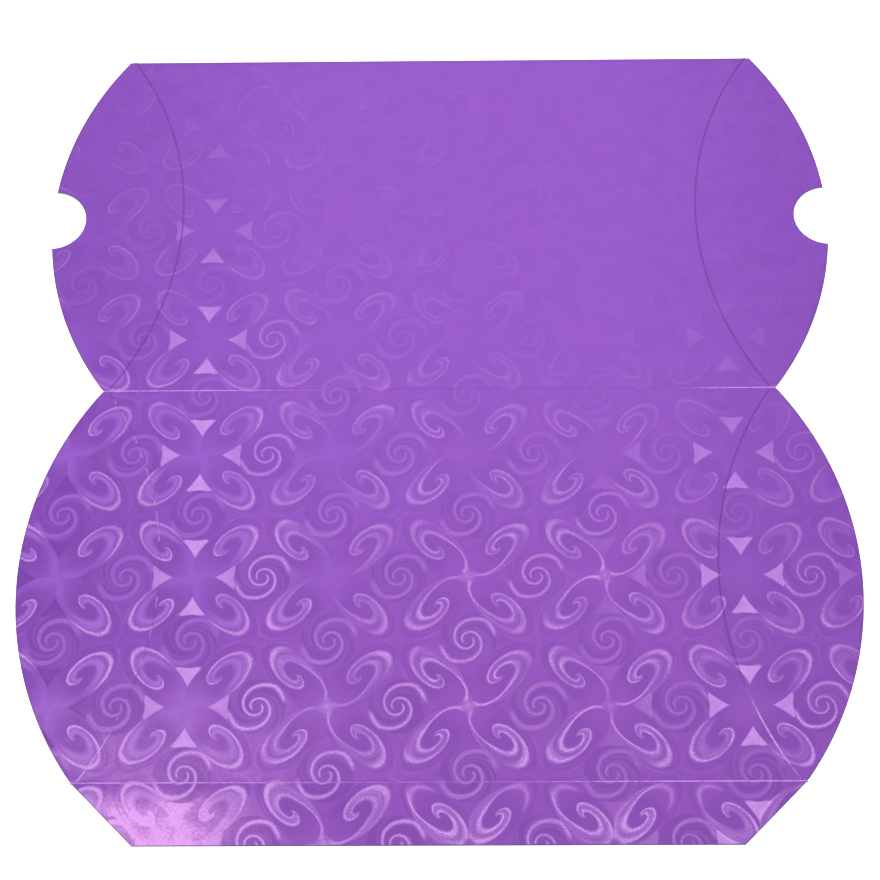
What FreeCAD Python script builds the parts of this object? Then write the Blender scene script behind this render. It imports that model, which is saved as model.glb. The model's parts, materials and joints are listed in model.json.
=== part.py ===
import FreeCAD, Part
import os

# Pillow box blank: one die-cut sheet of foil-laminated card, lying flat with its foil side up.
# X runs along the spine crease, Y runs from the glue flap to the free edge, Z is up from the table.
# The origin is in the middle of the sheet, on its underside. All sizes are in millimetres.

# Driving dimensions of the die line
spine_length = 185.0  # corner to corner along the spine crease
panel_height = 112.0  # crease to crease, the same on both main panels
glue_flap_depth = 16.3
glue_flap_taper = 16.5  # how far each end of the glue flap slants in
flap_bulge = 18.7  # how far an end flap's cut edge bows out past the corners
crease_inset = 18.9  # how far the middle of an end crease lies inside the corners
flap_tip_width = 1.4  # blunt tip of an end flap, between its crease and its cut edge
notch_diameter = 19.0  # thumb notch in each end flap of the back panel

# Driving dimensions of the sheet
board_thickness = 0.40
film_thickness = 0.05
crease_width = 0.8
crease_thickness = 0.24  # pressed card that is left along a crease
crease_height = 0.06  # underside of a crease above the underside of the board
crease_clearance = 0.15  # between a crease and the piece that folds about it

# Places that follow from them
corner_x = spine_length / 2
half_crease = crease_width / 2
half_panel = panel_height / 2
spine_y = glue_flap_depth / 2
glue_crease_y = spine_y - panel_height
free_edge_y = spine_y + panel_height
glue_edge_y = glue_crease_y - glue_flap_depth


def arc_radius(half_chord, rise):
    """Radius of the arc that rises this far above the middle of its chord."""
    return (half_chord**2 + rise**2) / (2 * rise)


# End flaps: the cut edge and the crease are two arcs that bow apart
cut_radius = arc_radius(half_panel, flap_bulge)
cut_centre_x = corner_x + flap_bulge - cut_radius
end_crease_radius = arc_radius(half_panel, crease_inset - flap_tip_width)
end_crease_x = corner_x - crease_inset
end_crease_centre_x = end_crease_x + end_crease_radius

# Main panels: name, its lower edge, its upper edge, the middle of its end creases, thumb notches
PANELS = [
    ("front", glue_crease_y + half_crease, spine_y - half_crease, spine_y - half_panel, False),
    ("back", spine_y + half_crease, free_edge_y, spine_y + half_panel, True),
]

# Layers of the sheet: name, underside, thickness
LAYERS = [
    ("board", 0.0, board_thickness),
    ("film", board_thickness, film_thickness),
]


def block(x_low, x_high, y_low, y_high, z, thickness):
    corner = FreeCAD.Vector(x_low, y_low, z)
    return Part.makeBox(x_high - x_low, y_high - y_low, thickness, corner)


def disc(x, y, radius, z, thickness):
    return Part.makeCylinder(radius, thickness, FreeCAD.Vector(x, y, z))


def mirrored(shape):
    return shape.mirror(FreeCAD.Vector(0, 0, 0), FreeCAD.Vector(1, 0, 0))


def end_crease_disc(middle_y, offset, z, thickness):
    """Disc beyond the right-hand end crease, grown towards the panel by the offset."""
    return disc(end_crease_centre_x, middle_y, end_crease_radius + offset, z, thickness)


def main_panel(low_y, high_y, middle_y, z, thickness):
    """Panel between two straight edges, hollowed at both ends by its curved creases."""
    panel = block(-corner_x, corner_x, low_y, high_y, z, thickness)
    end = end_crease_disc(middle_y, half_crease, z, thickness)
    return panel.cut(end).cut(mirrored(end))


def end_flap(low_y, high_y, middle_y, notched, z, thickness):
    """Right-hand end flap: the lens between the end crease and the cut edge."""
    flap = disc(cut_centre_x, middle_y, cut_radius, z, thickness)
    flap = flap.common(end_crease_disc(middle_y, -half_crease, z, thickness))
    flap = flap.common(block(0, corner_x + flap_bulge, low_y, high_y, z, thickness))
    if notched:
        flap = flap.cut(disc(corner_x + flap_bulge, middle_y, notch_diameter / 2, z, thickness))
    return flap


def glue_flap(z, thickness):
    """Strip below the front panel, with both ends slanted in from the corners."""
    near_y = glue_crease_y - half_crease
    near_x = corner_x - glue_flap_taper * half_crease / glue_flap_depth
    far_x = corner_x - glue_flap_taper
    corners = [(-near_x, near_y), (near_x, near_y), (far_x, glue_edge_y), (-far_x, glue_edge_y)]
    points = [FreeCAD.Vector(x, y, z) for x, y in corners]
    face = Part.Face(Part.makePolygon(points + points[:1]))
    return face.extrude(FreeCAD.Vector(0, 0, thickness))


def end_crease(low_y, high_y, middle_y):
    """Right-hand curved crease: a pressed strip that follows the end of its panel."""
    strip = end_crease_disc(middle_y, half_crease, crease_height, crease_thickness)
    inner_offset = crease_clearance - half_crease
    strip = strip.cut(end_crease_disc(middle_y, inner_offset, crease_height, crease_thickness))
    return strip.common(block(0, corner_x, low_y, high_y, crease_height, crease_thickness))


def straight_crease(low_y, high_y, end_middles):
    """Pressed strip across the sheet, stopped at the end creases of the panels beside it."""
    strip = block(-corner_x, corner_x, low_y, high_y, crease_height, crease_thickness)
    for middle_y in end_middles:
        end = end_crease_disc(middle_y, half_crease, crease_height, crease_thickness)
        strip = strip.cut(end).cut(mirrored(end))
    return strip


def sheet_parts():
    parts = {}
    for name, low_y, high_y, middle_y, notched in PANELS:
        for layer, z, thickness in LAYERS:
            parts[f"{name}_{layer}"] = main_panel(low_y, high_y, middle_y, z, thickness)
            flap = end_flap(low_y, high_y, middle_y, notched, z, thickness)
            parts[f"{name}_right_flap_{layer}"] = flap
            parts[f"{name}_left_flap_{layer}"] = mirrored(flap)
        crease = end_crease(low_y, high_y, middle_y)
        parts[f"{name}_right_crease"] = crease
        parts[f"{name}_left_crease"] = mirrored(crease)
    for layer, z, thickness in LAYERS:
        parts[f"glue_flap_{layer}"] = glue_flap(z, thickness)
    front_middle = spine_y - half_panel
    back_middle = spine_y + half_panel
    spine_far_y = spine_y + half_crease - crease_clearance
    parts["spine_crease"] = straight_crease(
        spine_y - half_crease, spine_far_y, [front_middle, back_middle]
    )
    glue_far_y = glue_crease_y - half_crease + crease_clearance
    parts["glue_crease"] = straight_crease(glue_far_y, glue_crease_y + half_crease, [front_middle])
    return parts


def write_parts():
    os.makedirs("parts", exist_ok=True)
    for name, shape in sheet_parts().items():
        shape.exportStep(f"parts/{name}.step")
        print(f"{name}: {len(shape.Solids)} solid, {shape.Volume:.2f} mm3, valid {shape.isValid()}")
    print(f"end crease middle at x {end_crease_x:.3f}, radius {end_crease_radius:.3f}")
    print(f"spine at y {spine_y:.3f}, glue crease at y {glue_crease_y:.3f}")


write_parts()
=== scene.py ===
# %% [markdown]
# A pillow box starts as one flat sheet: white card with a purple foil film on it, cut to shape and
# pressed along six creases. It is folded and glued only later. This lesson dresses that flat sheet.
# The measured model could be drawn again here, but two drawings never agree for long. It is loaded
# as a fixed frame instead, and every piece made below goes where the frame says.

# %% Load the measured sheet
import json
import math

import bpy
import numpy as np
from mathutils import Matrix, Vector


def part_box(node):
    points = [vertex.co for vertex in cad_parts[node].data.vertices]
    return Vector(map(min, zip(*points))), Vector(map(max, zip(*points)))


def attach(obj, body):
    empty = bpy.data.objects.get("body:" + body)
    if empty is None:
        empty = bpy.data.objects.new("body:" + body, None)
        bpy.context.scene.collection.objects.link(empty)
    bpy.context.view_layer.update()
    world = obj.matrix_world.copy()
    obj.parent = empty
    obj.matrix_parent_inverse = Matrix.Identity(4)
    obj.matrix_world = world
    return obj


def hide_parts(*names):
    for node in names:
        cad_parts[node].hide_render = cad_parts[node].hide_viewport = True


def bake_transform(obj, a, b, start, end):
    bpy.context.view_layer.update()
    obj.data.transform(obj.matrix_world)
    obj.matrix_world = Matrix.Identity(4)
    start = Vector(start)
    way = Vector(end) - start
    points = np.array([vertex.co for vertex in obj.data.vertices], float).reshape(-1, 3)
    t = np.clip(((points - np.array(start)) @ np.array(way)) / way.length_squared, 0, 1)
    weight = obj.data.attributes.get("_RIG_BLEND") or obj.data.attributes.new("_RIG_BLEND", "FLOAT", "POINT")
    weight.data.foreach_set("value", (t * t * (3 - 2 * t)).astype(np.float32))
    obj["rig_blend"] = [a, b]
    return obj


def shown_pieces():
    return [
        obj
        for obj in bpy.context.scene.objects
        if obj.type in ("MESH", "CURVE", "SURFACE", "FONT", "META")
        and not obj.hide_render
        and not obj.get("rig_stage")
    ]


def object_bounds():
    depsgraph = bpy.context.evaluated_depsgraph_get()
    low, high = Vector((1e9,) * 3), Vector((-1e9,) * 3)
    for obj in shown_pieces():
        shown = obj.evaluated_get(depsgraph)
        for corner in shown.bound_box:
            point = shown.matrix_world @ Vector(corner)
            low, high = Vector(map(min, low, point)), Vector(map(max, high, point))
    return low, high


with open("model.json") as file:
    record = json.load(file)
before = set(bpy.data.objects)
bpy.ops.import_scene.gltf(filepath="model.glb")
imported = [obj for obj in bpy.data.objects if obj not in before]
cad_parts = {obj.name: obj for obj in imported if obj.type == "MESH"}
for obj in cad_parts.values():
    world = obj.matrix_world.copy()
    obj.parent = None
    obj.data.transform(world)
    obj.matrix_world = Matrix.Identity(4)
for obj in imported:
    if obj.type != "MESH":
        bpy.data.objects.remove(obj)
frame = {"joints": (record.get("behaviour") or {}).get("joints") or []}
cad_low, cad_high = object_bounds()
bpy.ops.object.select_all(action="DESELECT")
print("sheet in metres:", [round(high - low, 5) for low, high in zip(cad_low, cad_high)])

# %% [markdown]
# The die line is the drawing that the cutting tool follows. Its creases are the hinges of the packed
# model, so their places are read from there, and the layers' heights come from the pieces' boxes.
# Only the corner, the blunt tip of a flap and the thumb notch are not in the frame, so they are named.

# %% Measures of the die line
corner_x = 0.0925
flap_tip = 0.0014
notch_radius = 0.0095

hinge = {joint["name"]: joint["pos_m"] for joint in frame["joints"]}
spine_y = hinge["spine_fold"][1]
glue_crease_y = hinge["glue_flap_fold"][1]
end_crease_x = hinge["front_right_flap_fold"][0]
front_middle_y = hinge["front_right_flap_fold"][1]
back_middle_y = hinge["back_right_flap_fold"][1]
board_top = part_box("front_board")[1].z
film_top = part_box("front_film")[1].z
half_crease = spine_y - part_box("front_board")[1].y
half_panel = (spine_y - glue_crease_y) / 2
spine_length = 2 * corner_x
print("spine at", round(spine_y, 5), "glue crease at", round(glue_crease_y, 5))

# %% [markdown]
# The end creases and the cut edges of the flaps are arcs. An arc is known from its half chord and its
# rise: the rise of the cut edge is the flap's bulge, and the crease rises the other way.

# %% Arcs of the flaps
def arc_radius(half_chord, rise):
    """Radius of the arc that rises this far above the middle of its chord."""
    return (half_chord**2 + rise**2) / (2 * rise)


flap_bulge = cad_high.x - corner_x
cut_radius = arc_radius(half_panel, flap_bulge)
cut_centre_x = cad_high.x - cut_radius
crease_radius = arc_radius(half_panel, corner_x - end_crease_x - flap_tip)
crease_centre_x = end_crease_x + crease_radius
print("cut radius", round(cut_radius, 5), "crease radius", round(crease_radius, 5))

# %% [markdown]
# The sheet is seen from the glue flap's side, about 63 degrees above the table and a little from the
# right. A camera could be pointed with a constraint, but a plain place and turn say more and cannot drift.

# %% Camera
camera_place = (0.0081, -0.2679, 0.5076)
camera_turn = [math.radians(degrees) for degrees in (27.17, 0.84, 0.07)]
camera_lens = 85.9

bpy.ops.object.camera_add(location=camera_place, rotation=camera_turn)
camera = bpy.context.object
camera.data.lens = camera_lens
camera.data.sensor_width = 36
bpy.context.scene.camera = camera
print("camera lens", camera.data.lens)

# %% [markdown]
# The table is plain white paper. A disc that is far larger than the sheet has no corner in any view. It
# could touch the sheet, but the flaps fold down through that plane, so it lies a flap's depth lower. It
# glows, so that it stays white and no shadow gives the gap away, but only for the camera: real light from
# it would flood the white board side. The film doesn't mirror it either, because a shiny cut edge would melt
# into the ground. From below it is see-through, so that the sheet's board side can be looked at. The colours
# are shown as they are, without a film curve.

# %% White table
def paint(red, green, blue):
    """A colour on the usual 0 to 255 scale as the linear colour that nodes want."""
    shares = [value / 255 for value in (red, green, blue)]
    linear = [s / 12.92 if s <= 0.04045 else ((s + 0.055) / 1.055) ** 2.4 for s in shares]
    return (*linear, 1.0)


def new_material(name):
    """A node material; returns it with its node tree and its Principled shader."""
    material = bpy.data.materials.new(name)
    material.use_nodes = True
    return material, material.node_tree, material.node_tree.nodes["Principled BSDF"]


bpy.context.scene.view_settings.view_transform = "Standard"
table_gap = 0.005
table_drop = cad_high.x - end_crease_x + table_gap
round_sides = 96
bpy.ops.mesh.primitive_circle_add(
    vertices=round_sides, radius=4, fill_type="NGON", location=(0, 0, -table_drop)
)
table = bpy.context.object
table.name = "white_table"
table.visible_glossy = False
table_paper, table_tree, table_shader = new_material("table_paper")
table_shader.inputs["Base Color"].default_value = (0.9, 0.9, 0.9, 1)
table_shader.inputs["Roughness"].default_value = 0.9
table_shader.inputs["Emission Color"].default_value = (1, 1, 1, 1)
table_seen = table_tree.nodes.new("ShaderNodeLightPath")
table_tree.links.new(table_seen.outputs["Is Camera Ray"], table_shader.inputs["Emission Strength"])
seen_side = table_tree.nodes.new("ShaderNodeNewGeometry")
see_through = table_tree.nodes.new("ShaderNodeBsdfTransparent")
one_sided = table_tree.nodes.new("ShaderNodeMixShader")
table_tree.links.new(seen_side.outputs["Backfacing"], one_sided.inputs["Fac"])
table_tree.links.new(table_shader.outputs["BSDF"], one_sided.inputs[1])
table_tree.links.new(see_through.outputs["BSDF"], one_sided.inputs[2])
table_tree.links.new(one_sided.outputs[0], table_tree.nodes["Material Output"].inputs["Surface"])
table.data.materials.append(table_paper)
table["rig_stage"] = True
print("table", [round(side, 2) for side in table.dimensions])

# %% [markdown]
# Foil shows what is round it, so the room matters as much as the lamps. The room is a white tent:
# bright overhead and dimmer towards the floor, which gives pressed lines and rolled edges a dark side.
# The camera itself sees plain white behind the table.

# %% White tent
tent = bpy.data.worlds.new("white_tent")
tent.use_nodes = True
bpy.context.scene.world = tent
tent_nodes = tent.node_tree.nodes
tent_links = tent.node_tree.links
tent_light = tent_nodes["Background"]
direction = tent_nodes.new("ShaderNodeTexCoord")
height = tent_nodes.new("ShaderNodeSeparateXYZ")
fade = tent_nodes.new("ShaderNodeMapRange")
fade.interpolation_type = "SMOOTHSTEP"
for socket, value in (("From Min", -0.1), ("From Max", 0.75), ("To Min", 0.22), ("To Max", 0.95)):
    fade.inputs[socket].default_value = value
seen = tent_nodes.new("ShaderNodeLightPath")
brightness = tent_nodes.new("ShaderNodeMath")
brightness.operation = "MAXIMUM"
tent_links.new(direction.outputs["Generated"], height.inputs[0])
tent_links.new(height.outputs["Z"], fade.inputs["Value"])
tent_links.new(fade.outputs["Result"], brightness.inputs[0])
tent_links.new(seen.outputs["Is Camera Ray"], brightness.inputs[1])
tent_links.new(brightness.outputs[0], tent_light.inputs["Strength"])
tent_light.inputs["Color"].default_value = (1, 1, 1, 1)
print("tent nodes", len(tent_nodes))

# %% [markdown]
# Two softboxes give the light a little direction: a wide one behind the sheet, and a weaker one at the
# camera's left.

# %% Softboxes
def softbox(name, place, size, power):
    """A square lamp that looks at the middle of the sheet."""
    bpy.ops.object.light_add(type="AREA", location=place)
    lamp = bpy.context.object
    lamp.name = name
    lamp.data.name = name
    lamp.data.size = size
    lamp.data.energy = power
    away = lamp.location.normalized()
    lamp.rotation_euler = away.to_track_quat("Z", "Y").to_euler()


softbox("back_softbox", (-0.1, 1.3, 1.6), 1.6, 3)
softbox("left_softbox", (-1.2, -0.6, 1.3), 1.0, 1.5)
print("softboxes", [lamp.name for lamp in bpy.data.lights])

# %% [markdown]
# The foil's scrolls are drawn with sums on the place of each point, in nodes. Placed one by one, some
# hundred Math nodes would hide what they do. A wire class lets the sums be written as sums, and each
# sign places its own node.

# %% Sums written with wires
class Wire:
    """A value that runs from node to node; sums of wires place Math nodes."""

    def __init__(self, tree, socket):
        self.tree = tree
        self.socket = socket

    def math(self, operation, *others):
        node = self.tree.nodes.new("ShaderNodeMath")
        node.operation = operation
        for slot, value in zip(node.inputs, (self, *others)):
            if isinstance(value, Wire):
                self.tree.links.new(value.socket, slot)
            else:
                slot.default_value = value
        return Wire(self.tree, node.outputs[0])

    def __add__(self, other):
        return self.math("ADD", other)

    def __sub__(self, other):
        return self.math("SUBTRACT", other)

    def __mul__(self, other):
        return self.math("MULTIPLY", other)

    def __truediv__(self, other):
        return self.math("DIVIDE", other)

    def __neg__(self):
        return self.math("MULTIPLY", -1.0)

    def __rsub__(self, other):
        return -self + other

    __radd__ = __add__
    __rmul__ = __mul__


def fraction(wire):
    return wire.math("FRACT")


def size_of(wire):
    return wire.math("ABSOLUTE")


def distance(x, y):
    return (x * x + y * y).math("SQRT")


def bearing(y, x):
    return y.math("ARCTAN2", x)


def bell(wire, width):
    """1 at zero, falling off on both sides."""
    share = wire / width
    return (-(share * share)).math("EXPONENT")


def rise(wire, low, high):
    """0 up to low and 1 from high on, smooth between them."""
    node = wire.tree.nodes.new("ShaderNodeMapRange")
    node.interpolation_type = "SMOOTHSTEP"
    wire.tree.links.new(wire.socket, node.inputs["Value"])
    node.inputs["From Min"].default_value = low
    node.inputs["From Max"].default_value = high
    return Wire(wire.tree, node.outputs["Result"])


def noise(tree, place, scale, detail):
    node = tree.nodes.new("ShaderNodeTexNoise")
    tree.links.new(place, node.inputs["Vector"])
    node.inputs["Scale"].default_value = scale
    node.inputs["Detail"].default_value = detail
    return Wire(tree, node.outputs["Fac"])


print("what a wire can do:", len(vars(Wire)), "entries")

# %% [markdown]
# The film is embossed all over with a common stock scroll: stars of four curled petals on a square
# lattice, and round spirals between them. It is one node group, because the film and the creases both
# carry it. The group reads each point's place on the flat sheet, in metres, counted in star steps.

# %% Lattice of the scroll
star_step = 0.03602
star_x = -0.0644
star_y = -0.0118

scroll = bpy.data.node_groups.new("scroll_emboss", "ShaderNodeTree")
scroll.interface.new_socket("Place", in_out="INPUT", socket_type="NodeSocketVector")
for mask in ("Glint", "Facet", "Ribbon", "Hollow", "Relief"):
    scroll.interface.new_socket(mask, in_out="OUTPUT", socket_type="NodeSocketFloat")
scroll_in = scroll.nodes.new("NodeGroupInput")
scroll_place = scroll_in.outputs["Place"]
scroll_split = scroll.nodes.new("ShaderNodeSeparateXYZ")
scroll.links.new(scroll_place, scroll_split.inputs[0])
sheet_x = Wire(scroll, scroll_split.outputs["X"])
sheet_y = Wire(scroll, scroll_split.outputs["Y"])
steps_x = (sheet_x - star_x) / star_step
steps_y = (sheet_y - star_y) / star_step
across = sheet_x / spine_length
down = (spine_y - sheet_y) / spine_length
print("star step in mm:", round(star_step * 1000, 2))

# %% [markdown]
# A petal is a flat oval, and inside it lies a broad curled band, as on a fern tip: it starts thin at the
# star, widens round the outer end and winds in to an eye. All four petals are one petal turned by
# quarter turns, so the angle round the star is folded into one quarter. Round the eye, the band's two
# edges come closer in as the angle grows, and the share between the edges says where in it a point lies.
# A softer ribbon goes along with the band, just inside its middle. On most of the glue flap the petals are
# turned round: their thin ends are away from the star and hook over the petal's tip.

# %% Petals and their curled bands
quarter = math.pi / 2
full_turn = 2 * math.pi
petal_middle = 0.3
eye_along = 0.335
eye_squeeze = 1.8
outer_start, outer_pitch, outer_most = 0.252, 0.0483, 0.28
inner_start, inner_pitch = 0.105, 0.0245


def within(share):
    """1 inside a band, where the share between its edges runs from 0 to 1, with soft edges."""
    return rise(share, -0.12, 0.15) * (1 - rise(share, 0.85, 1.12))


def chosen(first, second, use_first):
    """The first value where use_first is 1, and the second where it is 0."""
    return use_first * first + (1 - use_first) * second


from_star_x = fraction(steps_x + 0.5) - 0.5
from_star_y = fraction(steps_y + 0.5) - 0.5
from_star = distance(from_star_x, from_star_y)
quarters_round = bearing(from_star_y, from_star_x) / quarter
off_axis = fraction(quarters_round) * quarter - quarter / 2
along = from_star * off_axis.math("COSINE")
aside = from_star * off_axis.math("SINE")
oval = distance((along - petal_middle) / 0.29, aside / 0.135)
in_petal = 1 - rise(oval, 0.96, 1.06)
past_petal = rise(oval, 1.0, 1.08)
on_flap = steps_y.math("LESS_THAN", -2.5)
turned_round = on_flap * steps_x.math("GREATER_THAN", 1.5)
along = chosen(2 * petal_middle - along, along, turned_round)
aside = chosen(-aside, aside, turned_round)
eye_x = along - eye_along
eye_y = aside * eye_squeeze
curl = distance(eye_x, eye_y)
curl_turn = bearing(eye_y, eye_x)
outer_edge = (outer_start - outer_pitch * curl_turn).math("MINIMUM", outer_most)
outer_edge = outer_edge + 0.05 * rise(-curl_turn, 2.3, 3.1)
inner_edge = inner_start - inner_pitch * curl_turn + 0.095 * rise(-curl_turn, 1.4, 2.75)
band_share = (curl - inner_edge) / (outer_edge - inner_edge)
hook_turn = curl_turn + full_turn
hook_inner = inner_start - inner_pitch * hook_turn
hook_width = (outer_start - outer_pitch * hook_turn - hook_inner).math("MAXIMUM", 0.004)
hook_share = (curl - hook_inner) / hook_width
hook = within(hook_share) * (1 - rise(curl_turn, -2.2, -1.6))
not_hook = 1 - within(band_share).math("LESS_THAN", hook)
petal_band = within(band_share).math("MAXIMUM", hook)
petal_share = chosen(band_share, hook_share, not_hook)
petal_turn = chosen(curl_turn, hook_turn, not_hook)
ribbon_width = 0.035 + 0.04 * rise(-curl_turn, 1.6, 2.6)
ribbon = bell(curl - 0.65 * inner_edge - 0.35 * outer_edge, ribbon_width)
ribbon = ribbon.math("MAXIMUM", 0.6 * hook)
print("petal nodes", len(scroll.nodes))

# %% [markdown]
# Round spirals with two arms fill the lattice points between the stars. Turned by an eighth, those
# points make a lattice of their own, so the same folding works on the sum and the difference. The arms
# are log spirals, which shrink by the same share in every turn, faster outside than inside. An angle says
# nothing of full turns, so each arm is taken twice: as its outer sweep, and a full turn on as its tight
# inner end. What is left between petals and spirals are small three-cornered facets.

# %% Round spirals and facets
spiral_start, spiral_reach = 0.091, 0.198
spiral_growth_outward, spiral_shrink_inward = 0.34, 0.25

fold_sum = fraction(steps_x + steps_y) - 0.5
fold_difference = fraction(steps_x - steps_y) - 0.5
middle_x = (fold_sum + fold_difference) / 2
middle_y_steps = (fold_sum - fold_difference) / 2
from_middle = distance(middle_x, middle_y_steps)
middle_turn = bearing(middle_y_steps, middle_x)


def spiral_arm(turn):
    """The arm that starts at this turn: how far a point is in it, and its share across the arm."""
    outward = (-turn).math("MAXIMUM", 0.0) * spiral_growth_outward
    inward = turn.math("MAXIMUM", 0.0) * spiral_shrink_inward
    line = (spiral_start * (outward - inward).math("EXPONENT")).math("MINIMUM", spiral_reach)
    share = (from_middle - line) / (0.014 + 0.16 * line) + 0.5
    ends = rise(turn, -3.1, -2.7) * (1 - rise(turn, 3.1, 4.1))
    return within(share) * ends, share


other_turn = fraction(middle_turn / full_turn + 1.0) * full_turn - math.pi
spiral_band, spiral_share = spiral_arm(middle_turn)
for arm_turn in (other_turn, middle_turn + full_turn, other_turn + full_turn):
    arm, arm_share = spiral_arm(arm_turn)
    spiral_share = chosen(arm_share, spiral_share, spiral_band.math("LESS_THAN", arm))
    spiral_band = spiral_band.math("MAXIMUM", arm)
in_spiral = 1 - rise(from_middle, 0.195, 0.215)
facet_ends = (1 - rise(from_star, 0.3, 0.32)) * rise(from_star, 0.09, 0.19)
facet = past_petal * rise(from_middle, 0.2, 0.212) * facet_ends
print("scroll nodes", len(scroll.nodes))

# %% [markdown]
# Each band is a bundle of fine raised lines, and only some of them catch the light. In the outer columns
# of stars it is the band's outer edge, the rim, from the side of the petal round its tip. In the middle
# columns the inner edge shines too, a curl that comes from the star and winds in to the eye, and the rim
# starts later, past a dark gap. Where a stripe of lamp light crosses the sheet on a slant, the curls of a
# star run together in its middle. In the left columns the ribbons themselves show, bluer than the ground. A
# noise that is stretched along the band adds fainter lines, and each petal has its own number in the
# noise, so no two look the same. Past its dark rim a petal's tip has a faint echo.

# %% Lit lines of the petals
def lines_noise(first, second, number):
    """Noise on two measures along a band; the number picks another set of lines."""
    spread = scroll.nodes.new("ShaderNodeCombineXYZ")
    for slot, wire in zip(spread.inputs, (first, second, number * 1.7)):
        scroll.links.new(wire.socket, slot)
    return noise(scroll, spread.outputs[0], 1.0, 1.5)


middle_columns = 1 - rise(size_of(across - 0.04), 0.22, 0.34)
left_columns = rise(-across, 0.2, 0.32)
star_column = (steps_x + 0.5).math("FLOOR")
star_row = (steps_y + 0.5).math("FLOOR")
star_slant = star_column - star_row
half_lit = 0.5 * bell(star_slant - 5, 0.3) * middle_columns
fully_lit = rise(star_slant, 2.2, 2.8) * (1 - rise(star_slant, 4.2, 4.8))
star_lit = (fully_lit + half_lit) * rise(-star_row, 0.2, 0.8) * (1 - turned_round)
stem_lit = star_lit + 0.4 * turned_round
petal_number = quarters_round.math("FLOOR") + star_column * 5 + star_row * 17
ragged = 0.16 * (noise(scroll, scroll_place, 900, 2.0) - 0.5)
stem = rise(-petal_turn, 1.9, 2.8)
petal_tip = bell(petal_turn, 1.4)
curl_strength = middle_columns * (0.45 + 0.5 * rise(star_column, 1.2, 1.8))
curl_line = bell(petal_share + ragged - 0.14 - 0.3 * stem, 0.13 + 0.3 * stem) * curl_strength
rim_start = rise(petal_turn - 1.1 * middle_columns, -2.2, -1.2) * (1 - 0.2 * middle_columns)
rim_line = bell(petal_share + ragged - 0.87, 0.12 + 0.08 * petal_tip * middle_columns) * rim_start
petal_gap = bell(petal_share - 0.66 + 0.16 * middle_columns, 0.1) * petal_tip * petal_band
eye_line = 0.15 * bell(petal_share - 0.3, 0.15) * (1 - middle_columns)
lit_reach = rise(petal_turn + 0.55 * middle_columns + 1.45 * stem_lit, -2.2, -1.2)
own_light = 2.4 * lines_noise(petal_number * 0.4, petal_turn * 0.9, petal_number) - 0.2
faint_lines = rise(lines_noise(petal_share * 5, petal_turn * 0.6, petal_number), 0.5, 0.65)
strong_lines = (curl_line + rim_line + eye_line) * own_light
band_light = 0.08 + 0.12 * rise(down, 0.6, 0.62)
petal_light = band_light + (0.22 - 0.1 * left_columns) * faint_lines + 0.85 * strong_lines
petal_lines = petal_band * lit_reach * petal_light * rise(from_star, 0.015, 0.06)
tip_hook = 0.5 * bell(oval + 0.3 * ragged - 0.86, 0.07) * rise(-along, -0.22, -0.08) * turned_round
petal_lines = petal_lines.math("MAXIMUM", tip_hook)
star_core = 0.6 * bell(size_of(from_star_x) + size_of(from_star_y), 0.06) * star_lit
star_glow = 0.06 * bell(from_star, 0.14) * (1 - star_lit)
star_light = star_core.math("MAXIMUM", star_glow)
dark_rim = bell(oval - 1.12, 0.06)
echo = 0.16 * bell(oval - 1.27, 0.06) * rise(along, 0.4, 0.5) * faint_lines
petal_ribbon = (ribbon * in_petal).math("MAXIMUM", bell(from_star, 0.07))
print("scroll nodes", len(scroll.nodes))

# %% [markdown]
# A round spiral has soft pale arms, with fainter swirls all over its disc, and a fine bright line along an
# arm where the light picks it out. The slanting stripe of lamp light does so in all spirals that it crosses.
# Beyond it, the lit columns are others in the spirals beside the stars than in the ones above and below
# them. Along a log spiral the angle plus the logarithm of the radius stays the same, so a noise on that sum
# swirls. A fine grain breaks the lines into the sparkle of stamped foil.

# %% Lit lines of the spirals
sum_number = (steps_x + steps_y).math("FLOOR")
difference_number = (steps_x - steps_y).math("FLOOR")
spiral_number = sum_number * 3 + difference_number * 11
above_star = 2 * fraction((sum_number + difference_number) / 2)
lamp_stripe = 0.85 * bell(across + down - 0.44, 0.12) * rise(down, 0.0, 0.32)
flap_light = 0.6 * on_flap * (1 - rise(across, 0.2, 0.4))
beside_light = (bell(across + 0.25, 0.1) + bell(across - 0.53, 0.13)).math("MAXIMUM", flap_light)
left_end_light = bell(across + 0.36, 0.09) * rise(down, 0.42, 0.58)
spiral_light = chosen(left_end_light, beside_light, above_star).math("MAXIMUM", lamp_stripe)
uneven_light = 0.4 + 1.2 * lines_noise(spiral_number * 0.4, from_middle * 14, spiral_number)
soft_columns = 1 - 0.5 * left_columns - 0.4 * rise(across, 0.1, 0.3)
soft_arm = (0.12 + 0.16 * bell(spiral_share - 0.5, 0.4)) * soft_columns
fine_arm = bell(spiral_share + ragged - 0.5, 0.22) * spiral_light * uneven_light
swirl_turn = middle_turn + (from_middle + 0.004).math("LOGARITHM", math.e) / 0.365
swirl_noise = lines_noise(
    swirl_turn.math("COSINE") * 1.9, swirl_turn.math("SINE") * 1.9, spiral_number
)
swirls = in_spiral * rise(swirl_noise, 0.48, 0.6)
spiral_lines = (0.1 - 0.04 * left_columns) * swirls + spiral_band * (soft_arm + 0.85 * fine_arm)
grain = (noise(scroll, scroll_place, 2400, 1.0) * 2.6 - 0.3).math("MAXIMUM", 0.1)
print("scroll nodes", len(scroll.nodes))
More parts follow.
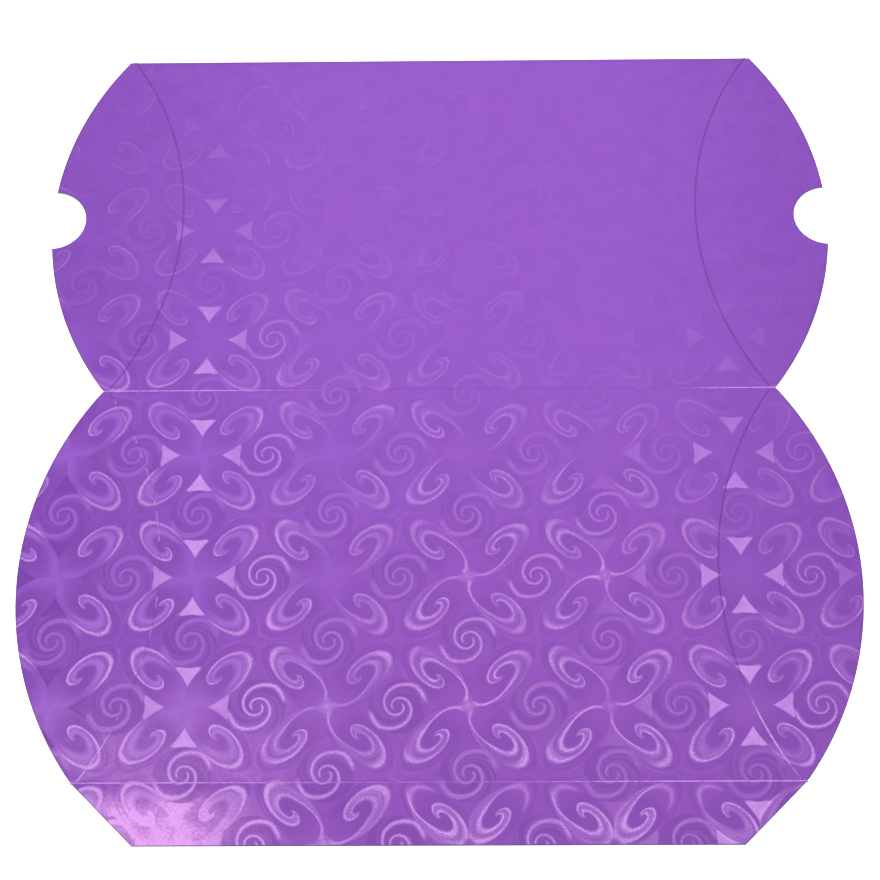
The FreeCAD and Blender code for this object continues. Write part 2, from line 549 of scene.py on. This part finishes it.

# %% [markdown]
# Painted light on the embossing is not equally strong. It is strong towards the glue flap and the left
# end, and at the free edge it is faint, most of all at the right, with only fragments left. The facets
# shine in one column of stars at each end, and on the left flaps they are darkened with painted shade.
# Smooth masks over the sheet set this. Painted shade also darkens the floor of a petal or spiral beside
# its band.

# %% Strength of the painted light over the sheet
slant = down - 0.35 * across
fragments = rise(noise(scroll, scroll_place, 75, 1.0), 0.48, 0.6)
faint_free_edge = rise(across, -0.1, 0.25) * (1 - rise(down, -0.05, 0.12))
# How strongly the scroll's painted highlights and painted shade show, by place on the sheet.
painted_light_strength = (rise(slant, -0.45, 0.85) + 0.1 * fragments) * (1 - 0.5 * faint_free_edge)
facet_columns = bell(across + 0.351, 0.09) + bell(across - 0.431, 0.14)
facet_sparkle = 0.3 + 0.35 * grain + 0.7 * noise(scroll, scroll_place, 300, 2.0)
lit_facet = facet * rise(slant, -0.5, 0.35) * facet_columns * (1 - 0.5 * faint_free_edge)
dark_facet = facet * rise(-across, 0.43, 0.47) * rise(down, -0.1, 0.15)
patches = noise(scroll, scroll_place, 28, 1.0) * 0.8 + 0.6
lines = petal_lines.math("MAXIMUM", spiral_lines).math("MAXIMUM", star_light).math("MAXIMUM", echo)
ribbon_reach = rise(-across, 0.0, 0.32) * rise(down, -0.2, 0.1) * (1 - 0.7 * rise(down, 0.5, 0.62))
ribbons = petal_ribbon.math("MAXIMUM", 0.5 * swirls).math("MAXIMUM", 0.6 * spiral_band)
# Painted shade: the floors beside the bands, the gap inside a petal's tip, the rim round it and the dark
# facets.
petal_floor = in_petal * (1 - petal_band * lit_reach) * rise(along, 0.1, 0.25)
spiral_floor = 1.3 * in_spiral * (1 - spiral_band)
floors = petal_floor.math("MAXIMUM", spiral_floor).math("MAXIMUM", 1.4 * petal_gap)
floors = floors.math("MAXIMUM", 0.9 * dark_rim)
scroll_out = scroll.nodes.new("NodeGroupOutput")
# Glint and Facet are painted highlight; the shade mask after Ribbon is painted shade.
for mask, wire in (
    ("Glint", painted_light_strength * patches * grain * lines),
    ("Facet", lit_facet * facet_sparkle),
    ("Ribbon", ribbons * ribbon_reach),
    ("Hollow", painted_light_strength * floors * 0.35 + dark_facet * 0.6 + lines * (1 - painted_light_strength) * 0.1),
    ("Relief", lines * 0.6 + lit_facet * 0.4 + grain * 0.1),
):
    scroll.links.new(wire.socket, scroll_out.inputs[mask])
print("scroll nodes", len(scroll.nodes))

# %% [markdown]
# The film is a thin metallised plastic, so its shader is mostly metal, satin rather than mirror. Its
# purple is a little bluer at the free edge, a little deeper at the two ends, and cloudy all over. The
# scroll's masks mix in a paler purple as painted highlight and a darker one as painted shade. A pale glare
# of the lamp, broken up by specks, is painted as highlight on the left end of the glue flap, which stands
# up a little on the real sheet and catches the lamp. A fainter and wider one lies on the sheet beside it.
# A glare is given by its strength, its width along the spine, and where down the sheet it starts and is
# full.

# %% Colours of the foil
def mixed(tree, share, first, second):
    """A colour between two others; a colour is a socket or a fixed value."""
    node = tree.nodes.new("ShaderNodeMix")
    node.data_type = "RGBA"
    tree.links.new(share.socket, node.inputs[0])
    for slot, colour in ((node.inputs[6], first), (node.inputs[7], second)):
        if isinstance(colour, tuple):
            slot.default_value = colour
        else:
            tree.links.new(colour, slot)
    return node.outputs[2]


class SheetPlace:
    """Where a point lies on the flat sheet, as wires in one material."""

    def __init__(self, tree):
        self.tree = tree
        stored = tree.nodes.new("ShaderNodeAttribute")
        stored.attribute_name = "flat_place"
        self.vector = stored.outputs["Vector"]
        split = tree.nodes.new("ShaderNodeSeparateXYZ")
        tree.links.new(self.vector, split.inputs[0])
        self.across = Wire(tree, split.outputs["X"]) / spine_length
        self.down = (spine_y - Wire(tree, split.outputs["Y"])) / spine_length
        self.sunk = film_top - Wire(tree, split.outputs["Z"])


purple_free_edge = paint(147, 87, 198)
purple_glue_edge = paint(147, 83, 188)
purple_ends = paint(129, 71, 178)
purple_warm = paint(156, 86, 192)
shade_purple = paint(104, 50, 148)
highlight_purple = paint(206, 152, 234)
violet_ribbon = paint(147, 89, 199)
pink_glare = paint(236, 168, 248)
sheet_glare = (0.25, 0.2, 0.4, 0.6)
glue_flap_glare = (1.4, 0.1, 0.598, 0.66)


def foil_colour(tree, place, glare_kind):
    """The film's colour with its scroll; returns the scroll's masks too."""
    group = tree.nodes.new("ShaderNodeGroup")
    group.node_tree = scroll
    tree.links.new(place.vector, group.inputs["Place"])
    masks = {socket.name: Wire(tree, socket) for socket in group.outputs}
    ground = mixed(tree, rise(place.down, -0.2, 0.5), purple_free_edge, purple_glue_edge)
    warm_clouds = rise(noise(tree, place.vector, 55, 3.0), 0.45, 0.65)
    ground = mixed(tree, warm_clouds * 0.2, ground, purple_warm)
    end_fade = rise(size_of(place.across - 0.04), 0.18, 0.64) * (0.65 - 0.35 * rise(place.down, 0.2, 0.6))
    dim_clouds = rise(noise(tree, place.vector, 150, 3.0), 0.4, 0.65)
    ground = mixed(tree, end_fade + 0.18 * dim_clouds, ground, purple_ends)
    ground = mixed(tree, masks["Ribbon"], ground, violet_ribbon)
    # Painted shade: the scroll's shade mask mixes in a darker purple.
    ground = mixed(tree, (masks["Hollow"] * 0.7).math("MINIMUM", 1.0), ground, shade_purple)
    shine = masks["Glint"] + masks["Facet"] * 0.8
    colour = mixed(tree, shine.math("MINIMUM", 1.0), ground, highlight_purple)
    strength, width, start, full = glare_kind
    # Painted highlight: the lamp's pale glare, in patches and specks.
    glare = bell(place.across + 0.385, width) * rise(place.down, start, full)
    lumps = noise(tree, place.vector, 170, 3.0) * 1.3 + 0.1
    specks = 0.75 + 0.6 * rise(noise(tree, place.vector, 1500, 2.0), 0.3, 0.7)
    glare = glare * lumps * specks * (1 - masks["Hollow"]) * strength
    return mixed(tree, glare.math("MINIMUM", 0.95), colour, pink_glare), masks


print("glares", sheet_glare, glue_flap_glare)

# %% [markdown]
# Where the cut has rolled the film over, a greyer, darker tone is painted in as shade, in a line as thin
# as the roll. How far a point is sunk below the film's top tells where that is. The scroll's relief bumps
# the surface, so that its lines catch real light too, and a fine speckle keeps the gloss from being even.

# %% Foil film
edge_roll = 0.00026
rim_shade = paint(118, 98, 140)


def emboss_bump(tree, shader, height, strength):
    bump = tree.nodes.new("ShaderNodeBump")
    bump.inputs["Strength"].default_value = strength
    bump.inputs["Distance"].default_value = 0.0001
    tree.links.new(height.socket, bump.inputs["Height"])
    tree.links.new(bump.outputs["Normal"], shader.inputs["Normal"])


def foil_shader(tree, shader, colour, masks, place):
    tree.links.new(colour, shader.inputs["Base Color"])
    roughness = 0.34 + noise(tree, place.vector, 900, 3.0) * 0.12 - masks["Facet"] * 0.08
    tree.links.new(roughness.socket, shader.inputs["Roughness"])
    shader.inputs["Metallic"].default_value = 0.75
    shader.inputs["Coat Weight"].default_value = 0.05
    shader.inputs["Coat Roughness"].default_value = 0.2
    emboss_bump(tree, shader, masks["Relief"], 0.25)


def foil_material(name, glare_kind):
    material, tree, shader = new_material(name)
    place = SheetPlace(tree)
    colour, masks = foil_colour(tree, place, glare_kind)
    # Painted shade along the rolled cut edge.
    colour = mixed(tree, rise(place.sunk, 0.0, edge_roll / 8) * 0.8, colour, rim_shade)
    foil_shader(tree, shader, colour, masks, place)
    return material


foil = foil_material("purple_foil", sheet_glare)
glue_foil = foil_material("purple_foil_glue_flap", glue_flap_glare)
print("foil nodes", len(foil.node_tree.nodes))

# %% [markdown]
# The scroll runs on across a crease, but along its deepest line painted shade turns it deeper, and in
# places a painted highlight shines as a thin pale line that breaks up into specks. On the spine that is
# towards its ends, on the glue crease nearly all along, and on the end creases only at their lower end.

# %% Pressed foil of the creases
groove_depths = (0.0, 0.00002, 0.00005, 0.00007, 0.00005, 0.00002, 0.0)
groove_depth = max(groove_depths)


def crease_material(name, line_tones, line_from):
    """Film with a pressed line; line_tones says from the place how strong its painted highlight and its
    painted shade are.

    The painted highlight starts at the share line_from of the groove's depth, so a small share is a broad
    line.
    """
    material, tree, shader = new_material(name)
    place = SheetPlace(tree)
    colour, masks = foil_colour(tree, place, sheet_glare)
    pale, dark = line_tones(place)
    pressed = rise(place.sunk, groove_depth * line_from, groove_depth * (line_from + 0.7))
    specks = 0.5 + 0.5 * rise(noise(tree, place.vector, 900, 2.0), 0.35, 0.55)
    # Painted shade deepens the groove, and a painted highlight runs along its deepest line.
    colour = mixed(tree, rise(place.sunk, 0.0, groove_depth) * dark, colour, shade_purple)
    colour = mixed(tree, (pressed * specks * pale).math("MINIMUM", 1.0), colour, highlight_purple)
    foil_shader(tree, shader, colour, masks, place)
    return material


# Each tones function gives the strength of a crease's painted highlight and of its painted shade.
def spine_tones(place):
    return 1.2 * (rise(-place.across, 0.1, 0.4) + rise(place.across, 0.32, 0.44)), 0.05


def glue_crease_tones(place):
    left_end = rise(-place.across, 0.1, 0.4)
    pale = 0.5 + 0.7 * left_end + 0.7 * rise(place.across, 0.1, 0.3)
    glue_crease_down = (spine_y - glue_crease_y) / spine_length
    lower_side = rise(place.down, glue_crease_down, glue_crease_down + 0.001)
    return pale, 0.4 + 0.6 * (1 - rise(place.across, 0.05, 0.25)) * lower_side


def end_crease_tones(place):
    left_front = rise(-place.across, 0.0, 0.1) * rise(place.down, 0.0, 0.02)
    right_end = 1.4 * bell(place.down - 0.54, 0.05) * rise(place.across, 0.0, 0.1)
    left_end = rise(place.down, 0.52, 0.56) * left_front
    left_sparks = 0.5 * rise(noise(place.tree, place.vector, 260, 2.0), 0.48, 0.58) * left_front
    return right_end + left_end.math("MAXIMUM", left_sparks), 0.6 - 0.35 * left_front


spine_foil = crease_material("pressed_foil_spine", spine_tones, 0.3)
glue_crease_foil = crease_material("pressed_foil_glue_crease", glue_crease_tones, 0.3)
end_crease_foil = crease_material("pressed_foil_end_crease", end_crease_tones, 0.05)
print("crease foils", [m.name for m in (spine_foil, glue_crease_foil, end_crease_foil)])

# %% [markdown]
# The card under the film is white uncoated board. Its back and its cut edge are never quite even: long
# fibres lie in it, a shade greyer and warmer than the rest. A stretched noise gives the fibres.

# %% White board
def board_material():
    material, tree, shader = new_material("white_board")
    place = tree.nodes.new("ShaderNodeAttribute")
    place.attribute_name = "flat_place"
    stretch = tree.nodes.new("ShaderNodeMapping")
    stretch.inputs["Scale"].default_value = (1.0, 4.0, 2.0)
    tree.links.new(place.outputs["Vector"], stretch.inputs["Vector"])
    fibres = noise(tree, stretch.outputs["Vector"], 900, 4.0)
    clouds = noise(tree, place.outputs["Vector"], 60, 2.0)
    colour = mixed(tree, rise(fibres, 0.42, 0.7) * 0.6, paint(240, 238, 232), paint(214, 209, 199))
    colour = mixed(tree, rise(clouds, 0.4, 0.8) * 0.3, colour, paint(226, 223, 216))
    tree.links.new(colour, shader.inputs["Base Color"])
    roughness = 0.78 + fibres * 0.15
    tree.links.new(roughness.socket, shader.inputs["Roughness"])
    emboss_bump(tree, shader, fibres, 0.3)
    return material


board = board_material()
print("board nodes", len(board.node_tree.nodes))

# %% [markdown]
# Every panel and flap lies between two lines of the die: two arcs, or two straight cuts. So each is
# drawn as its two lines and bridged, which gives tidy faces that follow the curves. An arc starts as a
# single vertex, a small plane merged to its middle, and is spun round the arc's centre.

# %% Lines of the die
arc_steps = 48


def pick_up(piece):
    """Makes this piece the only one that operators act on."""
    bpy.ops.object.select_all(action="DESELECT")
    bpy.context.view_layer.objects.active = piece
    piece.select_set(True)


def edit_mode():
    bpy.ops.object.mode_set(mode="EDIT")


def object_mode():
    bpy.ops.object.mode_set(mode="OBJECT")


def select_everything():
    bpy.ops.mesh.select_all(action="SELECT")


def open_piece(name):
    """An empty mesh at the origin, opened in edit mode; primitives added now go into it."""
    piece = bpy.data.objects.new(name, bpy.data.meshes.new(name))
    bpy.context.scene.collection.objects.link(piece)
    pick_up(piece)
    edit_mode()
    bpy.ops.mesh.select_mode(type="VERT")
    return piece


def add_vertex(x, y):
    bpy.ops.mesh.select_all(action="DESELECT")
    bpy.ops.mesh.primitive_plane_add(size=0.001, location=(x, y, 0))
    bpy.ops.mesh.merge(type="CENTER")


def add_arc(centre_x, centre_y, radius, side, low_y, high_y):
    """An arc from low_y up to high_y, on the right of its centre for side 1 and on the left for -1."""
    low_turn = math.asin((low_y - centre_y) / radius)
    high_turn = math.asin((high_y - centre_y) / radius)
    add_vertex(centre_x + side * radius * math.cos(low_turn), low_y)
    bpy.ops.mesh.spin(
        steps=arc_steps,
        angle=side * (low_turn - high_turn),
        center=(centre_x, centre_y, 0),
        axis=(0, 0, 1),
    )


def add_cut(start, end):
    """A straight line from one point to another."""
    add_vertex(*start)
    step = (end[0] - start[0], end[1] - start[1], 0)
    bpy.ops.mesh.extrude_region_move(TRANSFORM_OT_translate={"value": step})


def close_sheet(piece, rows):
    """Bridges the two lines with this many rows of faces, and turns the faces up."""
    select_everything()
    bpy.ops.mesh.bridge_edge_loops(number_cuts=rows - 1, interpolation="LINEAR")
    object_mode()
    if sum(face.normal.z for face in piece.data.polygons) < 0:
        edit_mode()
        select_everything()
        bpy.ops.mesh.flip_normals()
        object_mode()
    return piece


print("steps in an arc:", arc_steps)

# %% [markdown]
# Each main panel is hollowed at both ends by its curved creases. The glue flap is a strip with slanted
# ends. Neither bends on its own, so one row of faces is enough.

# %% Flat panels
glue_flap_taper = 0.0165
glue_edge_y = cad_low.y
free_edge_y = cad_high.y
glue_flap_depth = glue_crease_y - glue_edge_y
panel_ends = {
    "front": (front_middle_y, glue_crease_y + half_crease, spine_y - half_crease),
    "back": (back_middle_y, spine_y + half_crease, free_edge_y),
}


def panel_sheet(name, middle_y, low_y, high_y):
    piece = open_piece(name)
    for side in (-1, 1):
        add_arc(side * crease_centre_x, middle_y, crease_radius + half_crease, -side, low_y, high_y)
    return close_sheet(piece, 1)


def glue_flap_sheet():
    piece = open_piece("glue_flap_sheet")
    near_y = glue_crease_y - half_crease
    near_x = corner_x - glue_flap_taper * half_crease / glue_flap_depth
    far_x = corner_x - glue_flap_taper
    add_cut((-near_x, near_y), (near_x, near_y))
    add_cut((-far_x, glue_edge_y), (far_x, glue_edge_y))
    return close_sheet(piece, 1)


sheets = {name: panel_sheet(f"{name}_sheet", *ends) for name, ends in panel_ends.items()}
sheets["glue_flap"] = glue_flap_sheet()
for name, sheet in sheets.items():
    print(name, len(sheet.data.polygons), "faces", [round(side, 4) for side in sheet.dimensions])

# %% [markdown]
# An end flap is the lens between its crease and its cut edge. The thumb notch is punched through the
# thick card later on. The right flaps are drawn, and the left ones are their mirror images.

# %% End flaps
def flap_sheet(name, middle_y, low_y, high_y):
    piece = open_piece(name)
    add_arc(crease_centre_x, middle_y, crease_radius - half_crease, -1, low_y, high_y)
    add_arc(cut_centre_x, middle_y, cut_radius, 1, low_y, high_y)
    return close_sheet(piece, 1)


for name, ends in panel_ends.items():
    sheet = flap_sheet(f"{name}_right_flap_sheet", *ends)
    sheets[f"{name}_right_flap"] = sheet
    print(sheet.name, len(sheet.data.polygons), "faces")

# %% [markdown]
# Now the sheets become card. Solidify gives a sheet its thickness, and the notch is cut by a Boolean with
# a round punch. One helper adds a modifier, sets it up and applies it, so that no modifier is left on a
# finished piece.

# %% Card from a sheet
def apply_modifier(piece, kind, **settings):
    modifier = piece.modifiers.new(kind.lower(), kind)
    for name, value in settings.items():
        setattr(modifier, name, value)
    pick_up(piece)
    bpy.ops.object.modifier_apply(modifier=modifier.name)


def copy_of(piece, name):
    """A copy with a mesh of its own."""
    twin = piece.copy()
    twin.data = piece.data.copy()
    twin.name = name
    twin.data.name = name
    bpy.context.scene.collection.objects.link(twin)
    return twin


def punch_notch(piece):
    bpy.ops.mesh.primitive_cylinder_add(
        vertices=round_sides, radius=notch_radius, depth=0.01, location=(cad_high.x, back_middle_y, 0)
    )
    punch = bpy.context.object
    bpy.ops.object.transform_apply(location=True, rotation=True, scale=True)
    apply_modifier(piece, "BOOLEAN", operation="DIFFERENCE", object=punch, solver="EXACT")
    bpy.data.objects.remove(punch)


def thick_card(name, layer, thickness):
    piece = copy_of(sheets[name], f"{name}_{layer}")
    apply_modifier(piece, "SOLIDIFY", thickness=thickness, offset=1, use_even_offset=True)
    if name == "back_right_flap":
        punch_notch(piece)
    return piece


boards = {name: thick_card(name, "board_card", board_top) for name in sheets}
films = {name: thick_card(name, "film_skin", film_top) for name in sheets}
for name, piece in boards.items():
    print(name, len(piece.data.polygons), "faces", round(piece.dimensions.z * 1000, 3), "mm thick")

# %% [markdown]
# The cutting rule comes down on the foil side and rolls the upper edge over. A Bevel modifier would roll
# the sides along the creases too, where the sheet is not cut at all. So the edges on the cut outline are
# picked by the place of their middles, and only those are bevelled.

# %% Rolled cut edges
nearly = 0.00002


def on_cut_line(x, y):
    """Whether a point lies on the outline that the cutting rule follows."""
    if abs(y - free_edge_y) < nearly or abs(y - glue_edge_y) < nearly:
        return True
    if y < glue_crease_y:
        slanted_x = corner_x - glue_flap_taper * (glue_crease_y - y) / glue_flap_depth
        return abs(abs(x) - slanted_x) < nearly
    middle_y = front_middle_y if y < spine_y else back_middle_y
    if abs(math.hypot(abs(x) - cad_high.x, y - back_middle_y) - notch_radius) < nearly:
        return True
    return abs(math.hypot(abs(x) - cut_centre_x, y - middle_y) - cut_radius) < nearly


def start_picking(piece, kind):
    """Nothing of the piece is selected any more, and its edges or faces can be picked in code."""
    pick_up(piece)
    edit_mode()
    bpy.ops.mesh.select_mode(type=kind)
    bpy.ops.mesh.select_all(action="DESELECT")
    object_mode()


def roll_cut_edges(piece, roll):
    start_picking(piece, "EDGE")
    points = piece.data.vertices
    for edge in piece.data.edges:
        start, end = (points[index].co for index in edge.vertices)
        upper = min(start.z, end.z) > piece.dimensions.z / 2
        edge.select = upper and on_cut_line((start.x + end.x) / 2, (start.y + end.y) / 2)
    edit_mode()
    bpy.ops.mesh.bevel(offset=roll, segments=3, affect="EDGES", clamp_overlap=False)
    object_mode()


for name in ("back", "glue_flap", "front_right_flap", "back_right_flap"):
    roll_cut_edges(boards[name], edge_roll + film_top - board_top)
    roll_cut_edges(films[name], edge_roll)
    print(name, len(boards[name].data.polygons), "board faces")

# %% [markdown]
# The film is laminated on before the sheet is cut, so it rolls over with the edge. It starts as the same
# card, cut a film thicker: only the faces that look up are kept, and Solidify gives them the film's own
# thickness, inwards, where the board's wider roll leaves room for it.

# %% Film over the card
least_upward = 0.3


def keep_upper_skin(piece):
    start_picking(piece, "FACE")
    for face in piece.data.polygons:
        face.select = face.normal.z < least_upward
    edit_mode()
    bpy.ops.mesh.delete(type="FACE")
    object_mode()
    apply_modifier(piece, "SOLIDIFY", thickness=film_top - board_top, offset=-1, use_even_offset=True)


for name, piece in films.items():
    keep_upper_skin(piece)
    print(name, len(piece.data.polygons), "film faces")

# %% [markdown]
# A flap bends just past its crease when it is folded, and a mesh only bends where it has edges. Rows
# from crease to cut edge would crowd at the flap's tips, so the finished card and film are bisected by
# planes across the sheet instead: close together beside the crease, and wider apart further out.

# %% Bend lines in the flaps
close_spacing = 0.00035
close_lines = 12
wide_spacing = 0.0012


def cut_bend_lines(piece):
    pick_up(piece)
    edit_mode()
    x = end_crease_x + half_crease
    line = 0
    while x < cad_high.x - wide_spacing:
        x += close_spacing if line < close_lines else wide_spacing
        line += 1
        select_everything()
        bpy.ops.mesh.bisect(plane_co=(x, 0, 0), plane_no=(1, 0, 0), use_fill=False)
    object_mode()


for made in (boards, films):
    for name in ("front_right_flap", "back_right_flap"):
        cut_bend_lines(made[name])
        print(made[name].name, len(made[name].data.polygons), "faces")

# %% [markdown]
# The die line is the same left and right of the middle, so the left flaps are mirrored copies. A
# negative scale turns a mesh inside out, so the normals are made consistent again afterwards.

# %% Left flaps
def mirrored(piece, name):
    twin = copy_of(piece, name)
    pick_up(twin)
    edit_mode()
    select_everything()
    bpy.ops.transform.resize(value=(-1, 1, 1), center_override=(0, 0, 0))
    bpy.ops.mesh.normals_make_consistent(inside=False)
    object_mode()
    return twin


for layer, made in (("board_card", boards), ("film_skin", films)):
    for name in ("front", "back"):
        made[f"{name}_left_flap"] = mirrored(made[f"{name}_right_flap"], f"{name}_left_flap_{layer}")
for sheet in sheets.values():
    bpy.data.objects.remove(sheet)
print("boards", len(boards), "films", len(films))

# %% [markdown]
# A crease is a shallow groove that the creasing rule leaves. A sunk line could be bumped in a material,
# but it is a real form here: a narrow strip, bridged in rows beside the crease, whose inner rows are
# pushed down one after the other. The strip is then extruded down by the thickness of pressed card, and
# all but its upper side takes the board's material.

# %% Pressed strips
pressed_thickness = 0.00024


def press_groove(piece, from_middle):
    """Lifts the strip to the film's height and pushes its rows down, row by row."""
    rows = len(groove_depths) - 1
    edit_mode()
    bpy.ops.mesh.select_mode(type="VERT")
    select_everything()
    bpy.ops.transform.translate(value=(0, 0, film_top))
    for row, depth in enumerate(groove_depths):
        bpy.ops.mesh.select_all(action="DESELECT")
        object_mode()
        place = (2 * row / rows - 1) * half_crease
        for vertex in piece.data.vertices:
            off_row = from_middle(vertex.co.x, vertex.co.y) - place
            vertex.select = abs(off_row) < half_crease / rows
        edit_mode()
        bpy.ops.transform.translate(value=(0, 0, -depth))
    object_mode()


def finish_crease(piece, pressed_foil):
    piece.data.materials.append(pressed_foil)
    piece.data.materials.append(board)
    edit_mode()
    select_everything()
    bpy.ops.mesh.extrude_region_move(TRANSFORM_OT_translate={"value": (0, 0, -pressed_thickness)})
    select_everything()
    bpy.ops.mesh.normals_make_consistent(inside=False)
    object_mode()
    for face in piece.data.polygons:
        face.material_index = 0 if face.normal.z > least_upward else 1
    return piece


def end_crease(name, middle_y, low_y, high_y):
    piece = open_piece(name)
    for radius in (crease_radius + half_crease, crease_radius - half_crease):
        add_arc(crease_centre_x, middle_y, radius, -1, low_y, high_y)
    close_sheet(piece, len(groove_depths) - 1)
    press_groove(piece, lambda x, y: crease_radius - math.hypot(x - crease_centre_x, y - middle_y))
    return finish_crease(piece, end_crease_foil)


def straight_crease(name, crease_y, pressed_foil):
    piece = open_piece(name)
    for y in (crease_y - half_crease, crease_y + half_crease):
        add_cut((-corner_x, y), (corner_x, y))
    close_sheet(piece, len(groove_depths) - 1)
    press_groove(piece, lambda x, y: y - crease_y)
    return finish_crease(piece, pressed_foil)


creases = {
    "spine": straight_crease("spine_groove", spine_y, spine_foil),
    "glue": straight_crease("glue_groove", glue_crease_y, glue_crease_foil),
}
for name, ends in panel_ends.items():
    right = end_crease(f"{name}_right_groove", *ends)
    creases[f"{name}_right"] = right
    creases[f"{name}_left"] = mirrored(right, f"{name}_left_groove")
for name, piece in creases.items():
    print(name, len(piece.data.polygons), "faces", round(piece.dimensions.z * 1000, 3), "mm high")

# %% [markdown]
# A flap bends when it is folded, and a pattern that read the bent place would slide over it. So each
# piece keeps the place of every point on the flat sheet as an attribute, and the materials read that.
# Smooth shading stops at the rolled edges, so that flat card stays flat to the very rim.

# %% Materials and flat places
card_angle = 15
groove_angle = 60


def keep_flat_place(piece):
    places = np.empty(len(piece.data.vertices) * 3, np.float32)
    piece.data.vertices.foreach_get("co", places)
    kept = piece.data.attributes.new("flat_place", "FLOAT_VECTOR", "POINT")
    kept.data.foreach_set("vector", places)


def shade(piece, degrees):
    pick_up(piece)
    bpy.ops.object.shade_smooth_by_angle(angle=math.radians(degrees))


for piece in boards.values():
    piece.data.materials.append(board)
    shade(piece, card_angle)
for name, piece in films.items():
    piece.data.materials.append(glue_foil if name == "glue_flap" else foil)
    shade(piece, card_angle)
for piece in creases.values():
    shade(piece, groove_angle)
for piece in (*boards.values(), *films.values(), *creases.values()):
    keep_flat_place(piece)
print("pieces with a flat place:", len(boards) + len(films) + len(creases))

# %% [markdown]
# Panels and the glue flap are stiff, so they ride on their bodies. Each stands for the packed piece
# that it dresses.

# %% Stiff pieces ride on their bodies
layers = (("board", boards), ("film", films))
stiff_bodies = {"front": "front_panel", "back": "back_panel", "glue_flap": "glue_flap"}
for name, body in stiff_bodies.items():
    for layer, made in layers:
        piece = made[name]
        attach(piece, body)
        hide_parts(f"{name}_{layer}")
print("stiff pieces", len(stiff_bodies) * 2)

# %% [markdown]
# A straight crease bends across its width, from one panel to the other. An end flap bends along its
# curved crease, more gently towards its tips, where the crease has moved away from the straight hinge.
# The blend only knows straight fronts. So the points are first laid out straight, by how far they are
# past the crease, the blend is taken there, and then they go back to their places.

# %% Creases and flaps bend
bend_width = 0.002
bend_growth = 1.2


def lay_out(piece, places):
    piece.data.vertices.foreach_set("co", places.astype(np.float32).ravel())
    piece.data.update()


def bend_along_crease(piece, panel_body, flap_body, side, middle_y):
    places = np.array([vertex.co for vertex in piece.data.vertices])
    past_middle = places[:, 1] - middle_y
    crease_line = crease_centre_x - np.sqrt(crease_radius**2 - past_middle**2)
    softness = bend_width + bend_growth * (crease_line - end_crease_x)
    straight = np.zeros_like(places)
    straight[:, 0] = (side * places[:, 0] - crease_line + half_crease) / softness
    lay_out(piece, straight)
    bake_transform(piece, panel_body, flap_body, start=(0, 0, 0), end=(1, 0, 0))
    lay_out(piece, places)


for name, (middle_y, _, _) in panel_ends.items():
    for side_name, side in (("left", -1), ("right", 1)):
        flap = f"{name}_{side_name}_flap"
        for layer, made in layers:
            bend_along_crease(made[flap], f"{name}_panel", flap, side, middle_y)
            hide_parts(f"{flap}_{layer}")
        groove = creases[f"{name}_{side_name}"]
        bend_along_crease(groove, f"{name}_panel", flap, side, middle_y)
        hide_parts(f"{name}_{side_name}_crease")

for name, crease_y, far_body, towards in (
    ("spine", spine_y, "back_panel", 1),
    ("glue", glue_crease_y, "glue_flap", -1),
):
    groove = creases[name]
    near_edge = (0, crease_y - towards * half_crease, 0)
    far_edge = (0, crease_y + towards * half_crease, 0)
    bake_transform(groove, "front_panel", far_body, start=near_edge, end=far_edge)
    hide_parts(f"{name}_crease")
print("bending pieces", len([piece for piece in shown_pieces() if "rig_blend" in piece]))
